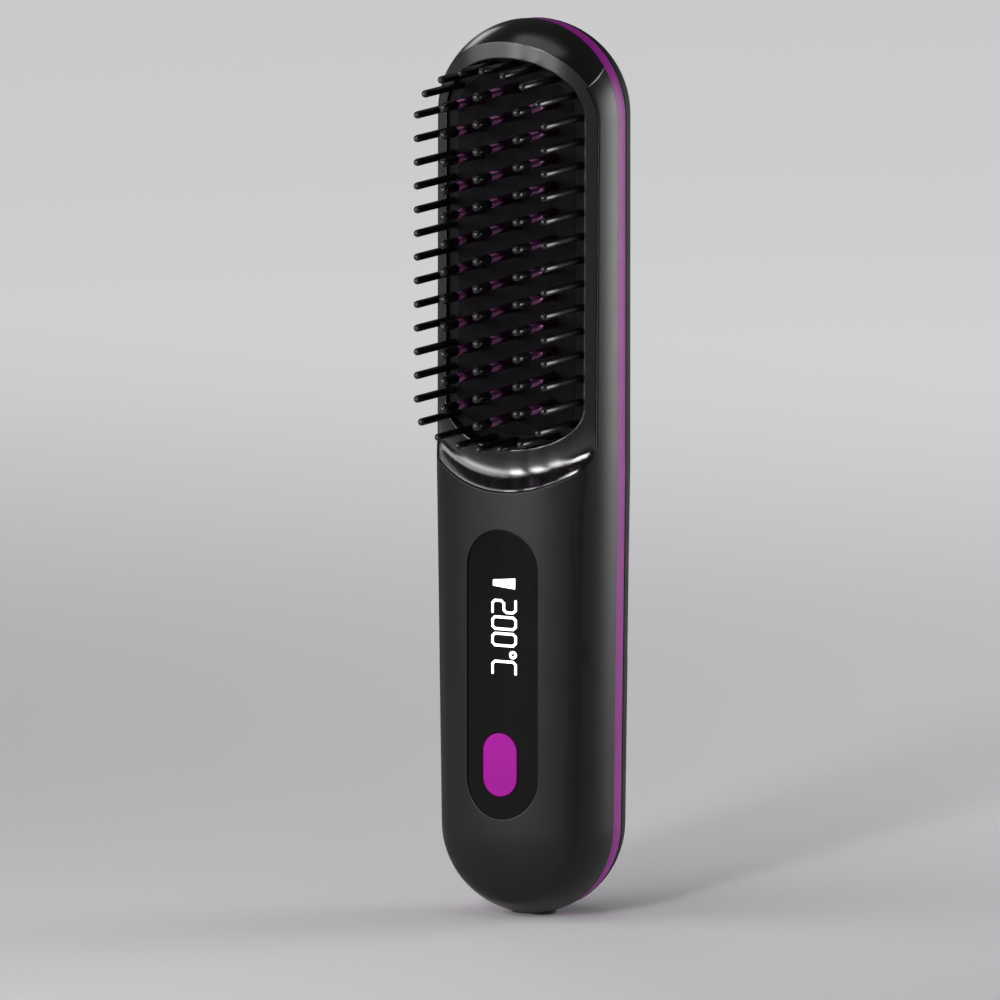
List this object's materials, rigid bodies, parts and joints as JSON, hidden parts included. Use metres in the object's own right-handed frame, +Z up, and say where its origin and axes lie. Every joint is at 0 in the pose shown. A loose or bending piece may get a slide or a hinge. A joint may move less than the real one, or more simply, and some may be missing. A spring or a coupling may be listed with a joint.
{
  "type": "hair straightening brush",
  "caption": "Cordless hair straightening brush: capsule-shaped body with a seam band, a bristle head with heated teeth, a display window and a push button",
  "frame": {"origin": "middle of the charging port's mouth, on the plane of the flat foot", "axes": "+Z up along the brush, the bristles and the display face -Y, +X to the right seen from the front"},
  "size_m": [0.0406, 0.0412, 0.1895],
  "materials": {
    "matte_shell": "matte soft-touch black",
    "gloss_black": "gloss black",
    "magenta_gloss": "gloss magenta",
    "magenta_satin": "satin magenta",
    "black_nylon": "smooth black nylon",
    "purple_coating": "purple coated metal",
    "heat_proof_plastic": "heat-proof plastic",
    "steel": "plain steel",
    "heater_ceramic": "unglazed ceramic",
    "mica": "mica sheet",
    "sensor_glass": "glass bead",
    "circuit_board": "circuit board",
    "battery_can": "wrapped metal can"
  },
  "bodies": {
    "housing": {"front_shell": "matte_shell", "rear_shell": "matte_shell", "accent_band": "magenta_gloss", "head_frame": "gloss_black", "bristle_rail": "black_nylon", "edge_bristles": "black_nylon", "heating_plate": "purple_coating", "heated_teeth": "purple_coating", "tooth_caps": "black_nylon", "plate_carrier": "heat_proof_plastic", "carrier_screws": "steel", "heater_element": "heater_ceramic", "mica_sheet": "mica", "heater_clamp": "steel", "clamp_screws": "steel", "thermistor": "sensor_glass", "thermal_fuse": "steel", "display_window": "gloss_black", "switch_body": "black_nylon", "main_board": "circuit_board", "board_screws": "steel", "display_module": "black_nylon", "control_chip": "black_nylon", "battery_cell": "battery_can", "battery_tabs": "steel", "battery_cradle": "heat_proof_plastic", "usb_socket": "steel", "usb_insert": "black_nylon", "charge_board": "circuit_board", "base_foot": "black_nylon"},
    "button": {"power_button": "magenta_satin", "switch_plunger": "black_nylon"}
  },
  "joints": [
    {"name": "button_press", "type": "slide", "parent": "housing", "child": "button", "axis": [0, 1, 0], "range_m": [0, 0.0005], "stiffness_N_per_m": 800}
  ]
}
